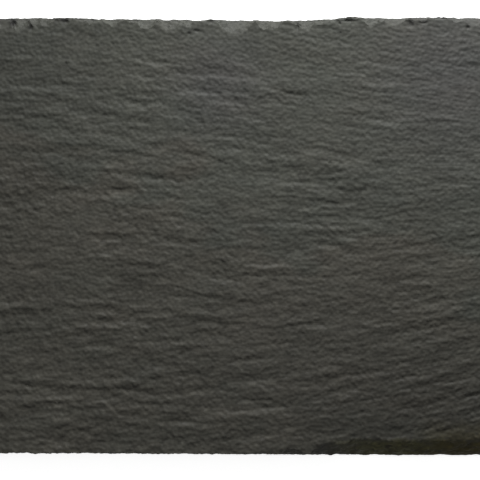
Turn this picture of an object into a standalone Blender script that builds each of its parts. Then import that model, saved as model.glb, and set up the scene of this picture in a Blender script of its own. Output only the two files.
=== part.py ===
"""A slate slab: one sheet of split slate with knapped edges, lying flat on its underside.

The stone starts as a finely divided box. shape_stone() moves every vertex of it: around the
rim the wall steps inwards, lamina by lamina, where flakes were struck off, and the two faces
take the low relief that the cleavage left. A Decimate modifier then keeps the triangles
where the stone is broken. Metres, +Z up, origin under the middle of the slab.
"""

import math
import random
from collections import namedtuple

import bmesh
import bpy
from mathutils import Vector, noise

MM = 0.001

# The slab, over its widest places
LENGTH = 300 * MM
WIDTH = 200 * MM
THICKNESS = 6 * MM
LAMINAE = 4  # sheets that the broken rim shows, from the face down

# Division of the box before Decimate, and what is left after it
CELL = 1.5 * MM
TRIANGLES = 9400

# Flake scars that were struck down from the face: (place along the side, half width,
# reach into the face, share of the thickness that the scar goes down), in mm from the
# middle of the side, towards +X or +Y
BACK_FLAKES = [
    (-108, 5.5, 6.2, 0.35),
    (-100, 4.5, 7.2, 0.75),
    (-93.5, 3.0, 4.2, 0.5),
    (-88.5, 3.6, 4.4, 0.45),
    (-68.5, 2.6, 3.4, 0.45),
    (-58, 5.2, 2.8, 0.3),
    (-42.5, 5.6, 4.8, 0.6),
    (-31.5, 7.4, 5.2, 0.45),
    (-23.5, 3.0, 4.4, 0.55),
    (-2, 9.6, 6.8, 0.8),
    (13, 7.0, 4.6, 0.6),
    (30.5, 4.8, 5.2, 0.6),
    (36.5, 3.6, 3.0, 0.4),
    (60, 4.6, 4.4, 0.8),
    (69.5, 7.8, 3.6, 0.45),
    (99, 3.0, 2.6, 0.6),
    (106, 6.2, 3.6, 0.35),
]
FRONT_FLAKES = [
    (23.5, 5.6, 3.4, 0.5),
    (43, 11.0, 6.0, 0.7),
    (60, 23.0, 8.4, 1.0),
    (84, 24.0, 7.9, 0.9),
    (106, 26.0, 8.8, 1.0),
    (128, 23.0, 7.6, 0.9),
    (143, 10.0, 6.0, 0.8),
]
# Bends of the outline right through the thickness: (place, half width, depth) in mm; a
# negative depth is stone left standing proud
BACK_BENDS = [
    (-60, 10, 0.35),
    (-10, 58, 0.75),
    (-20, 4, 0.4),
    (24, 22, 0.65),
    (55, 11, -0.5),
    (83, 9, -0.3),
    (94, 5.5, -0.4),
]
FRONT_BENDS = [(-110, 110, 0.6), (110, 100, -0.6)]
LEFT_BENDS = [(-52, 36, 0.9), (24, 20, -0.6), (71, 12, 0.7)]
RIGHT_BENDS = [(-18, 44, 1.0), (58, 14, -0.7), (-76, 12, -0.5)]

# Ranges that the flakes between the listed ones are drawn from, in the same order
SMALL_FLAKES = ((2.2, 4.8), (0.9, 2.6), (0.15, 0.4))
BROAD_FLAKES = ((4.0, 8.5), (2.0, 5.4), (0.35, 1.0))
UNDER_FLAKES = ((3.0, 9.0), (1.2, 4.2), (0.3, 0.8))
FACE_START = 18  # mm; right of this the front side was struck from the face
UNDER_END = 0  # mm; left of this it was struck from the underside

CORNER_ROUNDED = 9.0  # mm along each side over which a corner turns
CORNER_REACH = 2.4  # mm
ARRIS_REACH = 0.4  # mm, bevel left along an edge where no flake came off
SCAR_ROUND = 1.9  # above 1, a scar leaves the face gently and steepens on its way down
RIM_ZONE = 22 * MM  # the faces' grid gives way to the scars within this of the rim
RAGGED = 0.45 * MM  # unevenness of each lamina's broken edge
RAGGED_WAVE = 5 * MM
TREAD = 0.16  # share of a lamina's depth over which the rim steps to the next one

# Cleavage relief: (height, wave along the grain, wave across it)
RELIEF = [
    (0.34 * MM, 130 * MM, 80 * MM),
    (0.28 * MM, 60 * MM, 19 * MM),
    (0.20 * MM, 30 * MM, 9 * MM),
]
# The grain's slope, dy / dx, is GRAIN_SLOPE at the middle of the face and changes by
# GRAIN_X * x + GRAIN_Y * y + GRAIN_XY * x * y + GRAIN_XX * x * x over it, in metres
GRAIN_SLOPE = -0.045
GRAIN_X = 0.55
GRAIN_Y = -1.6
GRAIN_XY = -11.5
GRAIN_XX = 10.2

# Places where the underside's lowest sheet split away
HOLLOW = 0.45 * MM  # thickness of that sheet
HOLLOW_WAVES = (95 * MM, 38 * MM)  # along and across the grain
HOLLOW_FROM = 0.24  # value of the noise past which the sheet is gone
HOLLOW_LIP = 0.035  # further value over which its edge drops
HOLLOW_RAGGED = 0.10
HOLLOW_RAGGED_WAVE = 9 * MM

SLATE = (0.055, 0.056, 0.051, 1.0)
SLATE_ROUGHNESS = 0.62

Side = namedtuple("Side", "half_length flakes under_flakes bends strand")


def clear_scene():
    for obj in list(bpy.data.objects):
        bpy.data.objects.remove(obj)


def knap(rng, start, end, sizes):
    """Flakes struck one beside the other along a stretch of a side, in mm."""
    half_widths, reaches, shares = sizes
    flakes = []
    place = start
    while place < end:
        half = rng.uniform(*half_widths)
        flakes.append((place + half, half, rng.uniform(*reaches), rng.uniform(*shares)))
        place += 1.5 * half
    return flakes


def make_sides():
    """The four sides, each with its scars, its bends and a number that sets its noise apart."""
    rng = random.Random(11)
    back = knap(rng, -150, 150, SMALL_FLAKES) + BACK_FLAKES
    front = knap(rng, FACE_START, 150, SMALL_FLAKES) + FRONT_FLAKES
    front_under = knap(rng, -150, UNDER_END, UNDER_FLAKES)
    left = knap(rng, -100, 100, SMALL_FLAKES) + knap(rng, -96, 92, BROAD_FLAKES)
    right = knap(rng, -100, 100, SMALL_FLAKES) + knap(rng, -94, 90, BROAD_FLAKES)
    return {
        "back": Side(LENGTH / 2, back, [], BACK_BENDS, 0.0),
        "front": Side(LENGTH / 2, front, front_under, FRONT_BENDS, 17.3),
        "left": Side(WIDTH / 2, left, [], LEFT_BENDS, 34.6),
        "right": Side(WIDTH / 2, right, [], RIGHT_BENDS, 51.9),
    }


def scallop(place, centre, half):
    """1 at the middle of a scar or bend, and 0 past its ends."""
    return max(1 - ((place - centre) / half) ** 2, 0.0)


def scarred(place, depth, flakes):
    """How far in the flakes reach at a depth from 0, at the side they were struck from, to 1."""
    return max(
        (
            reach * scallop(place, at, half) * max(1 - depth / share, 0.0) ** SCAR_ROUND
            for at, half, reach, share in flakes
        ),
        default=0.0,
    )


def inset(side, along, depth, lamina):
    """How far in from the side's straight line the rim stands, at a depth from 0 to 1."""
    place = along / MM
    scar = max(scarred(place, depth, side.flakes), ARRIS_REACH * (1 - depth))
    under_scar = scarred(place, 1 - depth, side.under_flakes)
    from_end = side.half_length / MM - abs(place)
    corner = CORNER_REACH * max(1 - from_end / CORNER_ROUNDED, 0.0) ** 2
    bend = sum(deep * scallop(place, at, half) for at, half, deep in side.bends)
    tear = noise.noise(Vector((along / RAGGED_WAVE, 3.7 * lamina, side.strand)))
    return (scar + under_scar + corner + bend) * MM + RAGGED * tear


def grain(x, y):
    """Distances along and across the grain, whose direction turns slowly over the face."""
    mean_slope = GRAIN_SLOPE + GRAIN_X * x / 2 + GRAIN_Y * y + GRAIN_XY * x * y / 2
    return x, y - x * (mean_slope + GRAIN_XX * x * x / 3)


def face_height(x, y):
    along, across = grain(x, y)
    return THICKNESS + sum(
        height * noise.noise(Vector((along / long_wave, across / cross_wave, row)))
        for row, (height, long_wave, cross_wave) in enumerate(RELIEF)
    )


def underside_height(x, y):
    along, across = grain(x, y)
    long_wave, cross_wave = HOLLOW_WAVES
    broad = noise.noise(Vector((along / long_wave, across / cross_wave, 40.5)))
    fine = noise.noise(Vector((x / HOLLOW_RAGGED_WAVE, y / HOLLOW_RAGGED_WAVE, 5.5)))
    past = (broad + HOLLOW_RAGGED * fine - HOLLOW_FROM) / HOLLOW_LIP
    return HOLLOW * min(max(past, 0.0), 1.0)


def rim_rows():
    """(depth, lamina) of each ring of vertices around the rim, from the face down."""
    step = 1 / LAMINAE
    rows = []
    for lamina in range(LAMINAE):
        top = lamina * step + (TREAD * step / 2 if lamina else 0.0)
        bottom = (lamina + 1) * step - (TREAD * step / 2 if lamina < LAMINAE - 1 else 0.0)
        rows += [(top, lamina), (bottom, lamina)]
    return rows


def divided_box(rows):
    """A closed box of cells, two units across, with a ring of vertices for each rim row."""
    mesh = bmesh.new()
    bmesh.ops.create_cube(mesh, size=2.0)
    cells = (round(LENGTH / CELL), round(WIDTH / CELL), len(rows) - 1)
    for axis, count in enumerate(cells):
        edges = [e for e in mesh.edges if abs(e.verts[0].co[axis] - e.verts[1].co[axis]) > 1]
        bmesh.ops.subdivide_edges(mesh, edges=edges, cuts=count - 1, use_grid_fill=True)
    return mesh


def shape_stone(mesh, rows):
    """Moves the box's vertices to the surface of the stone."""
    sides = make_sides()
    for vertex in mesh.verts:
        u, v, w = vertex.co
        depth, lamina = rows[round((1 - w) / 2 * (len(rows) - 1))]
        x, y = u * LENGTH / 2, v * WIDTH / 2
        near_x = max(1 - (1 - abs(u)) * LENGTH / 2 / RIM_ZONE, 0.0)
        near_y = max(1 - (1 - abs(v)) * WIDTH / 2 / RIM_ZONE, 0.0)
        end, edge = sides["right" if u > 0 else "left"], sides["back" if v > 0 else "front"]
        moved_x, moved_y = x, y
        if near_x:
            moved_x -= math.copysign(near_x, u) * inset(end, y, depth, lamina)
        if near_y:
            moved_y -= math.copysign(near_y, v) * inset(edge, x, depth, lamina)
        top, bottom = face_height(moved_x, moved_y), underside_height(moved_x, moved_y)
        vertex.co = (moved_x, moved_y, top + (bottom - top) * depth)


def thinned(mesh):
    """The stone's mesh with its triangles kept where it is broken."""
    obj = bpy.data.objects.new("fine_stone", bpy.data.meshes.new("fine_stone"))
    bpy.context.scene.collection.objects.link(obj)
    bmesh.ops.triangulate(mesh, faces=mesh.faces)
    mesh.to_mesh(obj.data)
    decimate = obj.modifiers.new("Decimate", "DECIMATE")
    decimate.ratio = TRIANGLES / len(mesh.faces)
    mesh.free()
    graph = bpy.context.evaluated_depsgraph_get()
    made = bpy.data.meshes.new_from_object(obj.evaluated_get(graph))
    bpy.data.objects.remove(obj)
    return made


def seat(mesh):
    """Flattens the underside's high places into a seat and brings the slab to its size."""
    hair = 0.06 * MM
    for vertex in mesh.vertices:
        if vertex.co.z < hair:
            vertex.co.z = 0.0
    for axis, size in enumerate((LENGTH, WIDTH, THICKNESS)):
        low = min(v.co[axis] for v in mesh.vertices)
        high = max(v.co[axis] for v in mesh.vertices)
        middle = (low + high) / 2 if axis < 2 else 0.0
        for vertex in mesh.vertices:
            vertex.co[axis] = (vertex.co[axis] - middle) * size / (high - low)


def slate_material():
    material = bpy.data.materials.new("slate")
    material.use_nodes = True
    shader = material.node_tree.nodes["Principled BSDF"]
    shader.inputs["Base Color"].default_value = SLATE
    shader.inputs["Roughness"].default_value = SLATE_ROUGHNESS
    shader.inputs["Metallic"].default_value = 0.0
    return material


def build_slab():
    rows = rim_rows()
    box = divided_box(rows)
    shape_stone(box, rows)
    mesh = thinned(box)
    seat(mesh)
    mesh.name = "slab"
    mesh.materials.append(slate_material())
    slab = bpy.data.objects.new("slab", mesh)
    collection = bpy.data.collections.new("slate_slab")
    bpy.context.scene.collection.children.link(collection)
    collection.objects.link(slab)
    return slab


clear_scene()
build_slab()
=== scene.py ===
"""A slab of split slate: the stone with its riven face and knapped edges, on a pale floor.

It is laid out as a Blender add-on and run as a script. The slab is one piece, which stands
for the node "slab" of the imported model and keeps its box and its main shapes. Metres, +Z up,
origin under the middle of the slab.
"""

import math
import random
from collections import namedtuple

import bmesh
import bpy
from bpy.props import FloatProperty, FloatVectorProperty, IntProperty, PointerProperty
from bpy.types import Operator, Panel, PropertyGroup
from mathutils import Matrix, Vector, noise


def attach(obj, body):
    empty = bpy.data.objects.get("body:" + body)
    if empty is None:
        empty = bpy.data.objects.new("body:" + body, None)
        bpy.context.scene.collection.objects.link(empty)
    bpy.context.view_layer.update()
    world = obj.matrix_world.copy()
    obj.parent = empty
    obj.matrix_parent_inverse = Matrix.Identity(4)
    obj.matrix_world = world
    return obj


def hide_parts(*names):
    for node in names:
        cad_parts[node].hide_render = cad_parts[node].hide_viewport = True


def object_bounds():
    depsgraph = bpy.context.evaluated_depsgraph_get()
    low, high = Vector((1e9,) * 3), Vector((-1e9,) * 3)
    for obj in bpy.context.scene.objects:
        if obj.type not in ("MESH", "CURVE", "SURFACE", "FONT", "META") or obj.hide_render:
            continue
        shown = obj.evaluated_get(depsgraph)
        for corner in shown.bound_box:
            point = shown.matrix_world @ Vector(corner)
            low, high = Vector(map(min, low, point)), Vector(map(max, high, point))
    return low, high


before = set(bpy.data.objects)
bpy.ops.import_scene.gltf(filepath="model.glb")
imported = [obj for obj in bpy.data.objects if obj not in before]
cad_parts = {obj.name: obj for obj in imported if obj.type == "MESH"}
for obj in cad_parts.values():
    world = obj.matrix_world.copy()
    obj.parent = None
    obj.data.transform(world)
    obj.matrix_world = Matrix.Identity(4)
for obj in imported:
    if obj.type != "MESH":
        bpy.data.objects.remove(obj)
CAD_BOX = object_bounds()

bl_info = {
    "name": "Slate Slab",
    "version": (1, 0, 0),
    "blender": (4, 5, 0),
    "location": "3D View > Sidebar > Slate",
    "description": "Makes a slab of split slate with knapped edges, and a pale studio round it",
    "category": "Add Mesh",
}

MM = 0.001
CAD_SIZE = CAD_BOX[1] - CAD_BOX[0]

# Flake scars that were struck down from the face: (place along the side, half width,
# reach into the face, share of the thickness that the scar goes down), in mm from the
# middle of the side, towards +X or +Y
BACK_FLAKES = [
    (-108, 5.5, 6.2, 0.35),
    (-100, 4.5, 7.2, 0.75),
    (-93.5, 3.0, 4.2, 0.5),
    (-88.5, 3.6, 4.4, 0.45),
    (-68.5, 2.6, 3.4, 0.45),
    (-58, 5.2, 2.8, 0.3),
    (-42.5, 5.6, 4.8, 0.6),
    (-31.5, 7.4, 5.2, 0.45),
    (-23.5, 3.0, 4.4, 0.55),
    (-2, 9.6, 6.8, 0.8),
    (13, 7.0, 4.6, 0.6),
    (30.5, 4.8, 5.2, 0.6),
    (36.5, 3.6, 3.0, 0.4),
    (60, 4.6, 4.4, 0.8),
    (69.5, 7.8, 3.6, 0.45),
    (99, 3.0, 2.6, 0.6),
    (106, 6.2, 3.6, 0.35),
]
FRONT_FLAKES = [
    (23.5, 5.6, 3.4, 0.5),
    (43, 11.0, 6.0, 0.7),
    (60, 23.0, 8.4, 1.0),
    (84, 24.0, 7.9, 0.9),
    (106, 26.0, 8.8, 1.0),
    (128, 23.0, 7.6, 0.9),
    (143, 10.0, 6.0, 0.8),
]
# Bends of the outline right through the thickness: (place, half width, depth) in mm; a
# negative depth is stone left standing proud
BACK_BENDS = [
    (-60, 10, 0.35),
    (-10, 58, 0.75),
    (-20, 4, 0.4),
    (24, 22, 0.65),
    (55, 11, -0.5),
    (83, 9, -0.3),
    (94, 5.5, -0.4),
]
FRONT_BENDS = [(-110, 110, 0.6), (110, 100, -0.6)]
LEFT_BENDS = [(-52, 36, 0.9), (24, 20, -0.6), (71, 12, 0.7)]
RIGHT_BENDS = [(-18, 44, 1.0), (58, 14, -0.7), (-76, 12, -0.5)]

# Ranges that the flakes between the listed ones are drawn from, in the same order
SMALL_FLAKES = ((2.2, 4.8), (0.9, 2.6), (0.15, 0.4))
BROAD_FLAKES = ((4.0, 8.5), (2.0, 5.4), (0.35, 1.0))
UNDER_FLAKES = ((3.0, 9.0), (1.2, 4.2), (0.3, 0.8))
FACE_START = 18  # mm; right of this the front side was struck from the face
UNDER_END = 0  # mm; left of this it was struck from the underside
# Stretches of the long and short sides that they are struck along, in mm
LONG_SIDE = (-150, 150)
SHORT_SIDE = (-100, 100)
LEFT_BROAD = (-96, 92)
RIGHT_BROAD = (-94, 90)
FLAKE_STEP = 1.5  # half widths from the start of one flake to the start of the next
FLAKE_SEED = 11

CORNER_ROUNDED = 9.0  # mm along each side over which a corner turns
CORNER_REACH = 2.4  # mm
ARRIS_REACH = 0.4  # mm, bevel left along an edge where no flake came off
SCAR_ROUND = 1.9  # above 1, a scar leaves the face gently and steepens on its way down
RIM_ZONE = 22 * MM  # the faces' grid gives way to the scars within this of the rim
SHEETS = 4  # thick sheets that the broken rim shows
RAGGED = 0.45 * MM  # unevenness of each thick sheet's broken edge
RAGGED_WAVE = 5 * MM
RAGGED_STEP = 3.7  # how far apart two neighbouring sheets read their noise
FINE_RAGGED = 0.25 * MM  # unevenness of each lamina's broken edge
FINE_RAGGED_WAVE = 1.5 * MM
FINE_RAGGED_STEP = 2.3
CRUMBLE = 1.2  # mm, sideways unevenness of the scars
CRUMBLE_WAVE = 2.6  # mm
CRUMBLE_DEPTH = 2.5  # its waves from the top of the rim to the bottom
CRUMBLE_FINER = (0.5, 2.3)  # share of a second, finer wave, and how much finer it is
TORN = 1.1  # mm, unevenness of the scars' reach
TORN_WAVE = 4.0  # mm
TORN_DEPTH = 3.5
TORN_FINER = (0.6, 2.7)
TREAD = 0.3  # share of a lamina's depth over which the rim steps to the next one
STEPPED = 0.5  # how far the rim goes from a smooth slope, 0, to upright steps, 1
FINE_RIM = 9 * MM  # the stone's grid is twice as fine within this of the rim

# Cleavage relief: (height, wave along the grain, wave across it)
RELIEF = [
    (0.34 * MM, 130 * MM, 80 * MM),
    (0.28 * MM, 60 * MM, 19 * MM),
    (0.20 * MM, 30 * MM, 9 * MM),
]
RIPPLES = [
    (0.20 * MM, 34 * MM, 4.2 * MM),
    (0.38 * MM, 15 * MM, 2.7 * MM),
    (0.20 * MM, 11 * MM, 2.8 * MM),
    (0.30 * MM, 2.5 * MM, 2.4 * MM),
]
RIPPLE_LEAN = 0.35  # how far a crest leans towards +Y for its height
# Mean strength of the ripples at the middle of the face, and its change along X and Y
VIGOUR = 0.9
VIGOUR_X = -1.5
VIGOUR_Y = -1.8
VIGOUR_PATCHY = 0.7  # and its unevenness from place to place
VIGOUR_WAVES = (35 * MM, 22 * MM)
# Calmer places: (x, y, reach along X, reach along Y, drop of that strength), in mm
CALM = [(105, 100, 75, 22, 0.6), (100, -98, 65, 24, 0.45), (-20, 100, 110, 12, 0.25)]
# Terraces where thin sheets end on the face: waves of their outline, steps in a wave's
# height, height of a step, and share of a step's width that its riser takes
TERRACE_WAVES = [(1.0, 30 * MM, 8 * MM), (0.35, 9 * MM, 3.2 * MM)]
TERRACE_STEPS = 3.0
TERRACE_HEIGHT = 0.15 * MM
TERRACE_RISER = 0.3
# The grain's slope, dy / dx, is GRAIN_SLOPE at the middle of the face and changes by
# GRAIN_X * x + GRAIN_Y * y + GRAIN_XY * x * y + GRAIN_XX * x * x over it, in metres
GRAIN_SLOPE = -0.045
GRAIN_X = 0.55
GRAIN_Y = -1.6
GRAIN_XY = -11.5
GRAIN_XX = 10.2

# Ledges where a sheet's edge shows on the face: (x, y, half length, drop), in mm
LEDGES = [
    (-102, 15.5, 10, 0.29),
    (-97, -43, 15, 0.26),
    (-84, 55.5, 10, 0.26),
    (-84, 11, 9, 0.26),
    (-47.5, 38, 16, 0.34),
    (25, 65.5, 6, 0.4),
    (31, -39.5, 13, 0.36),
    (80.5, -3, 28, 0.26),
    (106, -72, 8, 0.29),
]
# Number of the lesser ledges between them, and the ranges that they are drawn from, in the
# same order
LESSER_LEDGES = 28
LESSER_RANGES = ((-142, 142), (-86, 86), (5, 13), (0.24, 0.36))
LEDGE_SEED = 4
LEDGE_RISER = 0.4 * MM  # about half the width of a ledge's drop
LEDGE_SPREAD = 2.2 * MM  # how far its swell spreads to either side of the drop
LEDGE_REACH = 3  # spreads from its line at which a ledge has run out
LEDGE_WANDER = 0.5 * MM  # unevenness of its line
LEDGE_WANDER_WAVE = 6 * MM

# Small pits behind the back edge, whose recesses are also darkened with painted shade: (x, y, half
# length, half width, depth), in mm
PITS = [
    (-103.2, 97.4, 1.1, 1.6, 1.6),
    (-95, 95.2, 0.9, 1.3, 0.7),
    (-79.8, 98.2, 2.0, 1.0, 0.8),
    (-73.4, 99.3, 1.8, 0.6, 0.7),
    (-66.3, 98.5, 1.2, 0.6, 0.6),
    (-50.2, 98.5, 1.0, 0.5, 0.5),
    (-46.8, 98.3, 1.2, 0.5, 0.5),
    (-23, 92.7, 0.9, 0.7, 0.5),
    (-19.6, 93.8, 1.4, 0.6, 0.6),
    (-12.7, 98.2, 1.1, 0.9, 0.8),
    (26.5, 96.2, 0.5, 1.6, 0.8),
    (45.6, 97.3, 0.6, 0.6, 0.6),
    (49.3, 98.3, 3.4, 0.5, 0.6),
    (77.9, 97.2, 1.3, 1.4, 0.9),
    (83.6, 97.4, 2.0, 0.6, 0.6),
    (92.3, 99.6, 3.0, 0.5, 0.6),
    (103.9, 95.3, 0.7, 0.7, 0.6),
]
PITS_FROM = 85 * MM  # there are none in front of this
PIT_REACH = 8  # square of the distance, in its half widths, at which a pit has run out
# Painted shade: the stone's colour is darkened in the pits, as the shade in these recesses would
# fall, and fully so from the depth below
PIT_FULL_SHADE_DEPTH = 0.5 * MM  # depth from which a pit is as dark as it gets
PIT_PAINTED_SHADE = 0.62  # share of the stone's lightness that it loses there

# Broad changes of the stone's colour: (x, y, reach in mm, lightness, how violet)
PATCHES = [
    (-20, -110, 90, -0.09, 0.0),
    (-95, -15, 50, -0.08, 0.0),
    (95, -90, 50, -0.3, 0.0),
    (-112, 80, 50, -0.22, 0.0),
    (-104, 15, 30, -0.07, 0.0),
    (25, -48, 50, -0.08, 0.1),
    (0, 20, 30, 0.06, 0.0),
    (97, 48, 36, 0.12, 0.2),
    (80, 90, 60, 0.04, 0.1),
    (-10, 70, 20, 0.0, 1.0),
    (98, 78, 34, 0.0, 0.9),
]
# The stone is warmer in front of a wandering line, which crosses the Y axis at WARM_EDGE
WARM_EDGE = 8 * MM
WARM_SLOPE = -0.3
WARM_WANDER = 34 * MM
WARM_WAVES = (48 * MM, 26 * MM)
WARM_FINER = (0.5, 2.9)
WARM_BLEND = 5 * MM
# The rim shows fresh stone from this far below the riven face, and wholly so after a blend
BROKEN_FROM = 0.8 * MM
BROKEN_BLEND = 1.6 * MM
WALL_FROM = 0.2  # share of the thickness below which all stone counts as fresh

# Places where the underside's lowest sheet split away
HOLLOW = 0.45 * MM  # thickness of that sheet
HOLLOW_WAVES = (95 * MM, 38 * MM)  # along and across the grain
HOLLOW_FROM = 0.24  # value of the noise past which the sheet is gone
HOLLOW_LIP = 0.035  # further value over which its edge drops
HOLLOW_RAGGED = 0.10  # unevenness of its edge, in the same value
HOLLOW_RAGGED_WAVE = 9 * MM
SEAT_HAIR = 0.06 * MM  # the underside rests where it is lower than this

# Where along its third axis each noise is read, so that no two are alike
RELIEF_STRAND = 0
CRUMBLE_STRAND = 3.1
HOLLOW_RAGGED_STRAND = 5.5
TORN_STRAND = 5.9
FINE_RAGGED_STRAND = 7.7
LEDGE_STRAND = 9.1
RIPPLE_STRAND = 20
TERRACE_STRAND = 30
HOLLOW_STRAND = 40.5
VIGOUR_STRAND = 71.4
WARM_STRAND = 88.2

# Waves of the stone's colour and grain, in mm. Threads, streaks and clouds are measured
# along the grain, across it and down; the others along X, Y and Z
GRIT_WAVES = (1.7, 1.7, 1.7)
THREAD_WAVES = (5.5, 2.1, 1.7)
STREAK_WAVES = (4.0, 4.0, 3.0)
CLOUD_WAVES = (34, 24, 20)
TINT_WAVES = (24, 12, 12)
LAMINA_WAVES = (16, 16, 0.42)
NOISE_RANGE = (0.3, 0.7)  # most of a noise's values lie in this
# What each adds to the stone's tone, from 0, dark, to 1, light
STREAK_TONE = (-0.06, 0.66)
GRIT_TONE = (0.1, 0.4)
CLOUD_TONE = (-0.16, 0.16)
# How the warmth of a place, and how violet it is, change its red and blue
TINT_WARMTH = (-0.6, 0.6)
WARMTH_RANGE = (-1.6, 1.6)
WARM_RED = (0.957, 1.072)
WARM_BLUE = (0.99, 0.965)
VIOLET_RED = 0.03
VIOLET_BLUE = 0.12
# The laminae's lines in the fresh scars
LAMINA_RANGE = (0.35, 0.65)
LAMINA_TONE = (0.72, 1.15)
# Finish of the surface
ROUGHER = (-0.06, 0.08)
SPECULAR = 0.3
BUMP = 0.4 * MM
THREAD_BUMP = 0.7
GRIT_BUMP = 0.85

# The iron stain along the right of the front edge: each pair is where it starts and where it
# is full, and the faint part reaches further into the face
STAIN_WAVES = (9, 5, 5)
STAIN_WANDER = 7 * MM
STAIN_Y = (-87.5 * MM, -90.5 * MM)
STAIN_X = (38 * MM, 62 * MM)
FAINT_Y = (-79 * MM, -87 * MM)
FAINT_X = (78 * MM, 92 * MM)
FAINT = 0.5
# It multiplies the stone's colour: olive first, brown after BROWN_X, and dark in its blots
STAIN_OLIVE = (1.36, 1.35, 0.65, 1)
STAIN_BROWN = (1.08, 0.91, 0.28, 1)
BROWN_X = (75 * MM, 95 * MM)
BLOT_WAVES = (5, 3, 3)
BLOT_RANGE = (0.56, 0.7)
STAIN_BLOT = (0.62, 0.54, 0.25, 1)

FLOOR_HALF = 30.0
LAMP_SIZE = 0.14
LAMP_PLACE = (0.07, 0.56, 0.3)
CAMERA_Y = -1.55 * MM

Side = namedtuple("Side", "half_length flakes under_flakes bends strand")


class SlabSettings(PropertyGroup):
    length: FloatProperty(
        name="Length",
        description="Slab's length, over its widest places",
        default=CAD_SIZE.x,
        min=0.05,
        unit="LENGTH",
    )
    width: FloatProperty(
        name="Width",
        description="Slab's width, over its widest places",
        default=CAD_SIZE.y,
        min=0.05,
        unit="LENGTH",
    )
    thickness: FloatProperty(
        name="Thickness",
        description="Height of the highest place of the face above the seat",
        default=CAD_SIZE.z,
        min=0.002,
        unit="LENGTH",
    )
    cell: FloatProperty(
        name="Cell",
        description="Size of the stone's grid cells before it is thinned; half that by the rim",
        default=0.75 * MM,
        min=0.3 * MM,
        precision=4,
        unit="LENGTH",
    )
    laminae: IntProperty(
        name="Laminae",
        description="Thin sheets that the broken rim shows",
        default=16,
        min=4,
    )
    triangles: IntProperty(
        name="Triangles",
        description="Triangles left after thinning",
        default=196000,
        min=5000,
    )
    sharp_angle: FloatProperty(
        name="Sharp angle",
        description="Edges that turn by more than this are crisp",
        default=math.radians(42),
        subtype="ANGLE",
    )


class FinishSettings(PropertyGroup):
    dark: FloatVectorProperty(
        name="Dark stone",
        description="Colour of the face's darkest grain",
        default=(0.0298, 0.0303, 0.0250),
        size=3,
        min=0,
        max=1,
        subtype="COLOR",
    )
    light: FloatVectorProperty(
        name="Light stone",
        description="Colour of the face's lightest grain",
        default=(0.0618, 0.0625, 0.0520),
        size=3,
        min=0,
        max=1,
        subtype="COLOR",
    )
    broken: FloatVectorProperty(
        name="Broken stone",
        description="Colour of the fresh scars round the rim",
        default=(0.046, 0.047, 0.039),
        size=3,
        min=0,
        max=1,
        subtype="COLOR",
    )
    roughness: FloatProperty(
        name="Roughness",
        description="Mean roughness of the face",
        default=0.68,
        min=0,
        max=1,
        subtype="FACTOR",
    )


class StudioSettings(PropertyGroup):
    picture_width: FloatProperty(
        name="Picture width",
        description="Stretch of the face that the camera takes in",
        default=0.2174,
        unit="LENGTH",
    )
    lens: FloatProperty(
        name="Lens",
        description="Camera's focal length",
        default=120,
        unit="CAMERA",
    )
    key_power: FloatProperty(
        name="Key power",
        description="Power of the lamp behind the slab",
        default=6.25,
        min=0,
        unit="POWER",
    )
    fill: FloatProperty(
        name="Fill",
        description="Strength of the even light from all round",
        default=0.26,
        min=0,
    )
    floor_glow: FloatProperty(
        name="Floor glow",
        description="Light that the floor gives off, which keeps its shadows pale",
        default=0.78,
        min=0,
    )


def knap(rng, start, end, sizes):
    """Flakes struck one beside the other along a stretch of a side, in mm."""
    half_widths, reaches, shares = sizes
    flakes = []
    place = start
    while place < end:
        half = rng.uniform(*half_widths)
        flakes.append((place + half, half, rng.uniform(*reaches), rng.uniform(*shares)))
        place += FLAKE_STEP * half
    return flakes


def make_sides(slab):
    """The four sides, each with its scars, its bends and a number that sets its noise apart."""
    rng = random.Random(FLAKE_SEED)
    back = knap(rng, *LONG_SIDE, SMALL_FLAKES) + BACK_FLAKES
    front = knap(rng, FACE_START, LONG_SIDE[1], SMALL_FLAKES) + FRONT_FLAKES
    front_under = knap(rng, LONG_SIDE[0], UNDER_END, UNDER_FLAKES)
    left = knap(rng, *SHORT_SIDE, SMALL_FLAKES) + knap(rng, *LEFT_BROAD, BROAD_FLAKES)
    right = knap(rng, *SHORT_SIDE, SMALL_FLAKES) + knap(rng, *RIGHT_BROAD, BROAD_FLAKES)
    return {
        "back": Side(slab.length / 2, back, [], BACK_BENDS, 0.0),
        "front": Side(slab.length / 2, front, front_under, FRONT_BENDS, 17.3),
        "left": Side(slab.width / 2, left, [], LEFT_BENDS, 34.6),
        "right": Side(slab.width / 2, right, [], RIGHT_BENDS, 51.9),
    }


def scallop(place, centre, half):
    """1 at the middle of a scar or bend, and 0 past its ends."""
    return max(1 - ((place - centre) / half) ** 2, 0.0)


def rough_noise(spot, share, finer):
    """Noise at a spot, with a share of a finer wave added to it."""
    return noise.noise(spot) + share * noise.noise(finer * spot)


def crumbled(place, depth, strand):
    """A place along the rim, in mm, shifted to where its scar is read, so that scars are ragged."""
    spot = Vector((place / CRUMBLE_WAVE, CRUMBLE_DEPTH * depth, strand + CRUMBLE_STRAND))
    return place + CRUMBLE * rough_noise(spot, *CRUMBLE_FINER)


def scarred(place, depth, flakes):
    """How far in the flakes reach at a depth from 0, at the side they were struck from, to 1."""
    return max(
        (
            reach * scallop(place, at, half) * max(1 - depth / share, 0.0) ** SCAR_ROUND
            for at, half, reach, share in flakes
        ),
        default=0.0,
    )


def torn(place, depth, strand):
    """How much further than its flakes' outlines the rim is torn at a place, in mm."""
    spot = Vector((place / TORN_WAVE, TORN_DEPTH * depth, strand + TORN_STRAND))
    return TORN * rough_noise(spot, *TORN_FINER)


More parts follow.
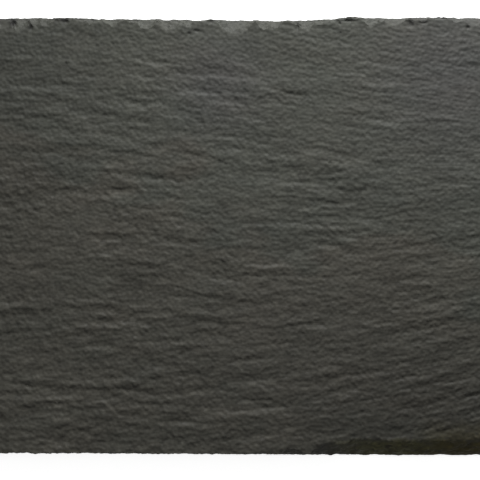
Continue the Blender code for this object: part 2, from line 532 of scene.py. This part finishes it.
def inset(side, along, depth, lamina, laminae):
    """How far in from the side's straight line the rim stands, at a depth from 0 to 1."""
    place = along / MM
    stepped = depth + STEPPED * ((lamina + 0.5) / laminae - depth)
    place = crumbled(place, stepped, side.strand)
    scar = max(scarred(place, stepped, side.flakes), ARRIS_REACH * (1 - stepped))
    under_scar = scarred(place, 1 - stepped, side.under_flakes)
    from_end = side.half_length / MM - abs(place)
    corner = CORNER_REACH * max(1 - from_end / CORNER_ROUNDED, 0.0) ** 2
    bend = sum(deep * scallop(place, at, half) for at, half, deep in side.bends)
    sheet = lamina * SHEETS // laminae
    spot = Vector((along / RAGGED_WAVE, RAGGED_STEP * sheet, side.strand))
    tear = RAGGED * noise.noise(spot)
    fine_strand = side.strand + FINE_RAGGED_STRAND
    fine_spot = Vector((along / FINE_RAGGED_WAVE, FINE_RAGGED_STEP * lamina, fine_strand))
    scars = scar + under_scar
    scars += min(scars, 1.0) * torn(along / MM, stepped, side.strand)
    return (scars + corner + bend) * MM + tear + FINE_RAGGED * noise.noise(fine_spot)


def grain(x, y):
    """Distances along and across the grain, whose direction turns slowly over the face."""
    mean_slope = GRAIN_SLOPE + GRAIN_X * x / 2 + GRAIN_Y * y + GRAIN_XY * x * y / 2
    return x, y - x * (mean_slope + GRAIN_XX * x * x / 3)


def waves(layers, along, across, strand):
    """Height of layers of waves, each (height, wave along, wave across), read from a strand."""
    return sum(
        height * noise.noise(Vector((along / long_wave, across / cross_wave, strand + row)))
        for row, (height, long_wave, cross_wave) in enumerate(layers)
    )


def terraces(along, across):
    """Height of the thin sheets' steps, with flat treads between narrow risers."""
    level = TERRACE_STEPS * waves(TERRACE_WAVES, along, across, TERRACE_STRAND)
    whole = math.floor(level)
    rise = min((level - whole) / TERRACE_RISER, 1.0)
    return TERRACE_HEIGHT * (whole + rise * rise * (3 - 2 * rise))


def draw_ledges():
    """The listed ledges and the lesser ones."""
    rng = random.Random(LEDGE_SEED)
    lesser = [
        tuple(rng.uniform(*limits) for limits in LESSER_RANGES) for _ in range(LESSER_LEDGES)
    ]
    return LEDGES + lesser


ALL_LEDGES = draw_ledges()


def ledges(x, y, across):
    """Height that the ledges add: up to their lip from +Y, and a drop at their -Y side."""
    height = 0.0
    for centre_x, centre_y, half, drop in ALL_LEDGES:
        off = (x / MM - centre_x) / half
        if abs(off) < 1:
            line = grain(centre_x * MM, centre_y * MM)[1]
            spot = Vector((x / LEDGE_WANDER_WAVE, centre_y, LEDGE_STRAND))
            past = across - line + LEDGE_WANDER * noise.noise(spot)
            if abs(past) < LEDGE_REACH * LEDGE_SPREAD:
                swell = math.exp(-((past / LEDGE_SPREAD) ** 2)) * (1 - off * off)
                height += drop * MM * swell * math.tanh(past / LEDGE_RISER)
    return height


def pits(x, y):
    """Depth of the pits at a point."""
    depth = 0.0
    if y > PITS_FROM:
        for centre_x, centre_y, half_length, half_width, deep in PITS:
            off = ((x / MM - centre_x) / half_length) ** 2 + ((y / MM - centre_y) / half_width) ** 2
            if off < PIT_REACH:
                depth += deep * MM * math.exp(-off)
    return depth


def face_height(x, y, thickness):
    """Height of the riven face above the seat."""
    along, across = grain(x, y)
    height = thickness + waves(RELIEF, along, across, RELIEF_STRAND)
    spot = Vector((x / VIGOUR_WAVES[0], y / VIGOUR_WAVES[1], VIGOUR_STRAND))
    vigour = VIGOUR + VIGOUR_PATCHY * noise.noise(spot)
    vigour += VIGOUR_X * x + VIGOUR_Y * y
    for centre_x, centre_y, reach_x, reach_y, drop in CALM:
        off = ((x / MM - centre_x) / reach_x) ** 2 + ((y / MM - centre_y) / reach_y) ** 2
        vigour -= drop * math.exp(-off)
    fine = waves(RIPPLES, along, across, RIPPLE_STRAND) + terraces(along, across)
    return height + vigour * fine + ledges(x, y, across) - pits(x, y)


def underside_height(x, y):
    """Height of the underside above the seat, which is 0 where its lowest sheet is left."""
    along, across = grain(x, y)
    long_wave, cross_wave = HOLLOW_WAVES
    broad = noise.noise(Vector((along / long_wave, across / cross_wave, HOLLOW_STRAND)))
    ragged_wave = HOLLOW_RAGGED_WAVE
    fine = noise.noise(Vector((x / ragged_wave, y / ragged_wave, HOLLOW_RAGGED_STRAND)))
    past = (broad + HOLLOW_RAGGED * fine - HOLLOW_FROM) / HOLLOW_LIP
    return HOLLOW * min(max(past, 0.0), 1.0)


def rim_rows(laminae):
    """(depth, lamina) of each ring of vertices around the rim, from the face down."""
    step = 1 / laminae
    rows = []
    for lamina in range(laminae):
        top = lamina * step + (TREAD * step / 2 if lamina else 0.0)
        bottom = (lamina + 1) * step - (TREAD * step / 2 if lamina < laminae - 1 else 0.0)
        rows += [(top, lamina), (bottom, lamina)]
    return rows


def divided_box(slab, rows):
    """A closed box of cells, two units across, with a ring of vertices for each rim row."""
    mesh = bmesh.new()
    bmesh.ops.create_cube(mesh, size=2.0)
    cells = (round(slab.length / slab.cell), round(slab.width / slab.cell), len(rows) - 1)
    for axis, count in enumerate(cells):
        edges = [e for e in mesh.edges if abs(e.verts[0].co[axis] - e.verts[1].co[axis]) > 1]
        bmesh.ops.subdivide_edges(mesh, edges=edges, cuts=count - 1, use_grid_fill=True)
    return mesh


def halve_by_rim(mesh, slab):
    """Halves the cells of the face within reach of the scars, and those of the wall with them."""
    inner = (1 - 2 * FINE_RIM / slab.length, 1 - 2 * FINE_RIM / slab.width)
    near_underside, level = -0.99, 1e-4

    def by_rim(vertex):
        return abs(vertex.co.x) > inner[0] or abs(vertex.co.y) > inner[1]

    edges = [
        e
        for e in mesh.edges
        if e.verts[0].co.z > near_underside
        and abs(e.verts[0].co.z - e.verts[1].co.z) < level
        and by_rim(e.verts[0])
        and by_rim(e.verts[1])
    ]
    bmesh.ops.subdivide_edges(mesh, edges=edges, cuts=1, use_grid_fill=True)


def shape_stone(mesh, slab, rows):
    """Moves the box's vertices to the surface of the stone."""
    sides = make_sides(slab)
    half_length, half_width = slab.length / 2, slab.width / 2
    for vertex in mesh.verts:
        u, v, w = vertex.co
        depth, lamina = rows[round((1 - w) / 2 * (len(rows) - 1))]
        x, y = u * half_length, v * half_width
        near_x = max(1 - (1 - abs(u)) * half_length / RIM_ZONE, 0.0)
        near_y = max(1 - (1 - abs(v)) * half_width / RIM_ZONE, 0.0)
        end, edge = sides["right" if u > 0 else "left"], sides["back" if v > 0 else "front"]
        moved_x, moved_y = x, y
        if near_x:
            moved_x -= math.copysign(near_x, u) * inset(end, y, depth, lamina, slab.laminae)
        if near_y:
            moved_y -= math.copysign(near_y, v) * inset(edge, x, depth, lamina, slab.laminae)
        top = face_height(moved_x, moved_y, slab.thickness)
        bottom = underside_height(moved_x, moved_y)
        lean = RIPPLE_LEAN * (top - slab.thickness) * (1 - depth) * (1 - max(near_x, near_y))
        vertex.co = (moved_x, moved_y + lean, top + (bottom - top) * depth)


def thinned(mesh, triangles):
    """The stone's mesh, thinned to so many triangles, with most of them where it is uneven."""
    obj = bpy.data.objects.new("fine_stone", bpy.data.meshes.new("fine_stone"))
    bpy.context.scene.collection.objects.link(obj)
    bmesh.ops.triangulate(mesh, faces=mesh.faces, quad_method="ALTERNATE")
    mesh.to_mesh(obj.data)
    decimate = obj.modifiers.new("Decimate", "DECIMATE")
    decimate.ratio = min(triangles / len(mesh.faces), 1.0)
    mesh.free()
    graph = bpy.context.evaluated_depsgraph_get()
    made = bpy.data.meshes.new_from_object(obj.evaluated_get(graph))
    bpy.data.objects.remove(obj)
    return made


def seat(mesh, slab):
    """Flattens the underside's high places into a seat and brings the slab to its size."""
    for vertex in mesh.vertices:
        if vertex.co.z < SEAT_HAIR:
            vertex.co.z = 0.0
    for axis, size in enumerate((slab.length, slab.width, slab.thickness)):
        low = min(v.co[axis] for v in mesh.vertices)
        high = max(v.co[axis] for v in mesh.vertices)
        middle = (low + high) / 2 if axis < 2 else 0.0
        for vertex in mesh.vertices:
            vertex.co[axis] = (vertex.co[axis] - middle) * size / (high - low)


def past_warm_line(x, y):
    """How far a point is in front of the line that warms the stone, from -1 to 1."""
    spot = Vector((x / WARM_WAVES[0], y / WARM_WAVES[1], WARM_STRAND))
    wander = WARM_WANDER * rough_noise(spot, *WARM_FINER)
    past = (WARM_EDGE + WARM_SLOPE * x + wander - y) / WARM_BLEND
    return min(max(past, -1.0), 1.0)


def mark_stone(mesh, slab):
    """Marks each vertex's depth below the riven face, the broad changes of its colour, and the
    painted shade in the pits.
    """
    broken, tone_and_pit_shade, violet, warmth = (
        mesh.attributes.new(name, "FLOAT", "POINT").data
        for name in ("broken", "tone_and_pit_shade", "violet", "warmth")
    )
    for index, vertex in enumerate(mesh.vertices):
        x, y, z = vertex.co
        below = slab.thickness
        if z > WALL_FROM * slab.thickness:
            below = face_height(x, y, slab.thickness) - z
        broken[index].value = min(max((below - BROKEN_FROM) / BROKEN_BLEND, 0.0), 1.0)
        pit_shade_share = pits(x, y) / PIT_FULL_SHADE_DEPTH
        shares = [
            (math.exp(-((x / MM - px) ** 2 + (y / MM - py) ** 2) / reach**2), light, tint)
            for px, py, reach, light, tint in PATCHES
        ]
        patch = sum(share * light for share, light, tint in shares)
        # Painted shade: the pits are darkened here, on top of the broad patches of tone
        tone_and_pit_shade[index].value = patch - PIT_PAINTED_SHADE * min(pit_shade_share, 1.0)
        violet[index].value = sum(share * tint for share, light, tint in shares)
        warmth[index].value = past_warm_line(x, y)


class Tree:
    """Adds nodes to a material or world and links them as they are made."""

    MIX_COLOURS = (6, 7)  # a Mix node's colour sockets, whose names its other sockets share
    MIXED_COLOUR = 2

    def __init__(self, owner):
        owner.use_nodes = True
        self.tree = owner.node_tree
        self.nodes = self.tree.nodes

    def add(self, kind, *values, **settings):
        node = self.nodes.new("ShaderNode" + kind)
        for name, value in settings.items():
            setattr(node, name, value)
        for socket, value in zip(node.inputs, values):
            self.set(socket, value)
        return node

    def set(self, socket, value):
        if isinstance(value, bpy.types.NodeSocket):
            self.tree.links.new(value, socket)
        elif value is not None:
            socket.default_value = value

    def mark(self, name):
        """Value that mark_stone() gave each vertex."""
        return self.add("Attribute", attribute_name=name).outputs["Fac"]

    def math(self, operation, *values):
        return self.add("Math", *values, operation=operation).outputs[0]

    def noise(self, vector, waves_mm, detail, roughness=0.5):
        """Noise of 0 to 1 whose waves along x, y and z are so many mm."""
        scale = [1 / (wave * MM) for wave in waves_mm]
        mapping = self.add("Mapping", vector)
        self.set(mapping.inputs["Scale"], scale)
        texture = self.add("TexNoise", mapping.outputs[0])
        self.set(texture.inputs["Scale"], 1.0)
        self.set(texture.inputs["Detail"], detail)
        self.set(texture.inputs["Roughness"], roughness)
        return texture.outputs["Fac"]

    def spread(self, value, low, high, to_low=0.0, to_high=1.0):
        """A value stretched from one range to another, and held to its ends."""
        node = self.add("MapRange", value, low, high, to_low, to_high)
        return node.outputs[0]

    def mix(self, share, first, second, blend="MIX"):
        node = self.add("Mix", data_type="RGBA", blend_type=blend)
        self.set(node.inputs["Factor"], share)
        for socket, colour in zip(self.MIX_COLOURS, (first, second)):
            self.set(node.inputs[socket], colour)
        return node.outputs[self.MIXED_COLOUR]

    def grey(self, value):
        """A colour whose red, green and blue are one value."""
        return self.add("CombineColor", value, value, value).outputs[0]


def grain_vector(tree):
    """(along the grain, across it, height) of a point, as grain() gives them."""
    place = tree.add("TexCoord").outputs["Object"]
    split = tree.add("SeparateXYZ", place)
    x, y, z = split.outputs
    slope = tree.math("MULTIPLY_ADD", x, GRAIN_X / 2, GRAIN_SLOPE)
    slope = tree.math("MULTIPLY_ADD", y, GRAIN_Y, slope)
    slope = tree.math("MULTIPLY_ADD", tree.math("MULTIPLY", x, y), GRAIN_XY / 2, slope)
    slope = tree.math("MULTIPLY_ADD", tree.math("MULTIPLY", x, x), GRAIN_XX / 3, slope)
    across = tree.math("SUBTRACT", y, tree.math("MULTIPLY", slope, x))
    return place, tree.add("CombineXYZ", x, across, z).outputs[0]


def front_stain(tree, place):
    """Colour by which the iron stain along the right of the front edge changes the stone's."""
    x, y = tree.add("SeparateXYZ", place).outputs[:2]
    wander = tree.noise(place, STAIN_WAVES, 2.0)
    blots = tree.noise(place, BLOT_WAVES, 2.0)
    edge = tree.math("MULTIPLY_ADD", wander, STAIN_WANDER, y)
    stained = tree.math("MULTIPLY", tree.spread(edge, *STAIN_Y), tree.spread(x, *STAIN_X))
    faint = tree.math("MULTIPLY", tree.spread(edge, *FAINT_Y), tree.spread(x, *FAINT_X))
    mask = tree.math("MAXIMUM", stained, tree.math("MULTIPLY", faint, FAINT))
    tint = tree.mix(tree.spread(x, *BROWN_X), STAIN_OLIVE, STAIN_BROWN)
    tint = tree.mix(tree.spread(blots, *BLOT_RANGE), tint, STAIN_BLOT)
    return tree.mix(mask, (1, 1, 1, 1), tint)


def face_colour(tree, finish, streaks, grit, clouds):
    """Grey of the riven face, mottled by its streaks, grit and clouds."""
    streak_tone = tree.spread(streaks, *NOISE_RANGE, *STREAK_TONE)
    tone = tree.math("ADD", streak_tone, tree.spread(grit, *NOISE_RANGE, *GRIT_TONE))
    tone = tree.math("ADD", tone, tree.spread(clouds, *NOISE_RANGE, *CLOUD_TONE))
    return tree.mix(tone, (*finish.dark, 1), (*finish.light, 1))


def scar_colour(tree, finish, place):
    """Grey of the fresh scars, lined by the laminae."""
    lines = tree.noise(place, LAMINA_WAVES, 2.0)
    lined = tree.grey(tree.spread(lines, *LAMINA_RANGE, *LAMINA_TONE))
    return tree.mix(1.0, (*finish.broken, 1), lined, "MULTIPLY")


def broad_tint(tree, place):
    """Colour by which the stone's broad changes of hue and lightness, with the painted shade in its
    pits, multiply its grey.
    """
    tints = tree.spread(tree.noise(place, TINT_WAVES, 2.0), *NOISE_RANGE, *TINT_WARMTH)
    warmth = tree.math("ADD", tree.mark("warmth"), tints)
    violet = tree.mark("violet")
    warm_red = tree.spread(warmth, *WARMTH_RANGE, *WARM_RED)
    warm_blue = tree.spread(warmth, *WARMTH_RANGE, *WARM_BLUE)
    red = tree.math("MULTIPLY_ADD", violet, VIOLET_RED, warm_red)
    blue = tree.math("MULTIPLY_ADD", violet, VIOLET_BLUE, warm_blue)
    hue = tree.add("CombineColor", red, 1.0, blue).outputs[0]
    # The broad patches of tone and the painted shade of the pits multiply the grey here
    light = tree.grey(tree.math("ADD", 1.0, tree.mark("tone_and_pit_shade")))
    return tree.mix(1.0, hue, light, "MULTIPLY")


def slate_material(finish):
    material = bpy.data.materials.new("slate")
    tree = Tree(material)
    shader = tree.nodes["Principled BSDF"]
    place, along = grain_vector(tree)
    grit = tree.noise(place, GRIT_WAVES, 0.0)
    threads = tree.noise(along, THREAD_WAVES, 0.0)
    streaks = tree.noise(along, STREAK_WAVES, 3.0, 0.7)
    clouds = tree.noise(along, CLOUD_WAVES, 3.0, 0.6)

    face = face_colour(tree, finish, streaks, grit, clouds)
    stone = tree.mix(tree.mark("broken"), face, scar_colour(tree, finish, place))
    stone = tree.mix(1.0, stone, broad_tint(tree, place), "MULTIPLY")
    stone = tree.mix(1.0, stone, front_stain(tree, place), "MULTIPLY")
    tree.set(shader.inputs["Base Color"], stone)

    roughness = [finish.roughness + change for change in ROUGHER]
    tree.set(shader.inputs["Roughness"], tree.spread(streaks, *NOISE_RANGE, *roughness))
    shader.inputs["Specular IOR Level"].default_value = SPECULAR
    shader.inputs["Metallic"].default_value = 0.0

    relief = tree.math("MULTIPLY", grit, GRIT_BUMP)
    relief = tree.math("MULTIPLY_ADD", threads, THREAD_BUMP, relief)
    fine = tree.add("Bump")
    tree.set(fine.inputs["Strength"], 1.0)
    tree.set(fine.inputs["Distance"], BUMP)
    tree.set(fine.inputs["Height"], relief)
    tree.set(shader.inputs["Normal"], fine.outputs[0])
    return material


def floor_material(studio):
    material = bpy.data.materials.new("studio_floor")
    tree = Tree(material)
    shader = tree.nodes["Principled BSDF"]
    shader.inputs["Base Color"].default_value = (0.9, 0.9, 0.9, 1)
    shader.inputs["Roughness"].default_value = 0.9
    shader.inputs["Emission Color"].default_value = (1, 1, 1, 1)
    shader.inputs["Emission Strength"].default_value = studio.floor_glow
    return material


class SLATE_OT_add_slab(Operator):
    """Adds the slab, with its riven faces and knapped rim"""

    bl_idname = "slate.add_slab"
    bl_label = "Slate slab"

    def execute(self, context):
        slab = context.scene.slate_slab
        rows = rim_rows(slab.laminae)
        box = divided_box(slab, rows)
        halve_by_rim(box, slab)
        shape_stone(box, slab, rows)
        mesh = thinned(box, slab.triangles)
        seat(mesh, slab)
        mark_stone(mesh, slab)
        for face in mesh.polygons:
            face.use_smooth = True
        mesh.set_sharp_from_angle(angle=slab.sharp_angle)
        mesh.name = "slate_slab"
        mesh.materials.append(slate_material(context.scene.slate_finish))
        stone = bpy.data.objects.new("slate_slab", mesh)
        context.scene.collection.objects.link(stone)
        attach(stone, "root")
        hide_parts("slab")
        return {"FINISHED"}


class SLATE_OT_add_studio(Operator):
    """Adds the pale floor, the lamp, the even light and the camera"""

    bl_idname = "slate.add_studio"
    bl_label = "Studio"

    def execute(self, context):
        studio = context.scene.slate_studio
        scene = context.scene
        mesh = bmesh.new()
        bmesh.ops.create_grid(mesh, x_segments=1, y_segments=1, size=FLOOR_HALF)
        floor_mesh = bpy.data.meshes.new("studio_floor")
        mesh.to_mesh(floor_mesh)
        mesh.free()
        floor_mesh.materials.append(floor_material(studio))
        floor = bpy.data.objects.new("studio_floor", floor_mesh)
        scene.collection.objects.link(floor)

        lamp = bpy.data.lights.new("key_lamp", "AREA")
        lamp.shape = "DISK"
        lamp.size = LAMP_SIZE
        lamp.energy = studio.key_power
        key = bpy.data.objects.new("key_lamp", lamp)
        key.location = LAMP_PLACE
        key.rotation_euler = (-key.location).to_track_quat("-Z", "Y").to_euler()
        key.visible_camera = False
        scene.collection.objects.link(key)

        world = bpy.data.worlds.new("studio_world")
        scene.world = world
        sky = Tree(world).nodes["Background"]
        sky.inputs["Color"].default_value = (1, 1, 1, 1)
        sky.inputs["Strength"].default_value = studio.fill

        camera = bpy.data.objects.new("camera", bpy.data.cameras.new("camera"))
        camera.data.lens = studio.lens
        camera.data.clip_start = 0.01
        distance = studio.picture_width * studio.lens / camera.data.sensor_width
        camera.location = (0, CAMERA_Y, CAD_SIZE.z + distance)
        scene.collection.objects.link(camera)
        scene.camera = camera
        scene.view_settings.view_transform = "Standard"
        return {"FINISHED"}


class SLATE_PT_panel(Panel):
    """Lists the slab's and the studio's settings"""

    bl_idname = "SLATE_PT_panel"
    bl_label = "Slate slab"
    bl_space_type = "VIEW_3D"
    bl_region_type = "UI"
    bl_category = "Slate"

    def draw(self, context):
        groups = (
            (context.scene.slate_slab, SLATE_OT_add_slab),
            (context.scene.slate_finish, None),
            (context.scene.slate_studio, SLATE_OT_add_studio),
        )
        for settings, operator in groups:
            box = self.layout.box()
            for name in settings.__annotations__:
                box.prop(settings, name)
            if operator:
                box.operator(operator.bl_idname)


CLASSES = (
    SlabSettings,
    FinishSettings,
    StudioSettings,
    SLATE_OT_add_slab,
    SLATE_OT_add_studio,
    SLATE_PT_panel,
)


def register():
    for cls in CLASSES:
        bpy.utils.register_class(cls)
    bpy.types.Scene.slate_slab = PointerProperty(type=SlabSettings)
    bpy.types.Scene.slate_finish = PointerProperty(type=FinishSettings)
    bpy.types.Scene.slate_studio = PointerProperty(type=StudioSettings)


def unregister():
    del bpy.types.Scene.slate_studio
    del bpy.types.Scene.slate_finish
    del bpy.types.Scene.slate_slab
    for cls in reversed(CLASSES):
        bpy.utils.unregister_class(cls)


def main():
    register()
    bpy.ops.slate.add_slab()
    bpy.ops.slate.add_studio()


if __name__ == "__main__":
    main()
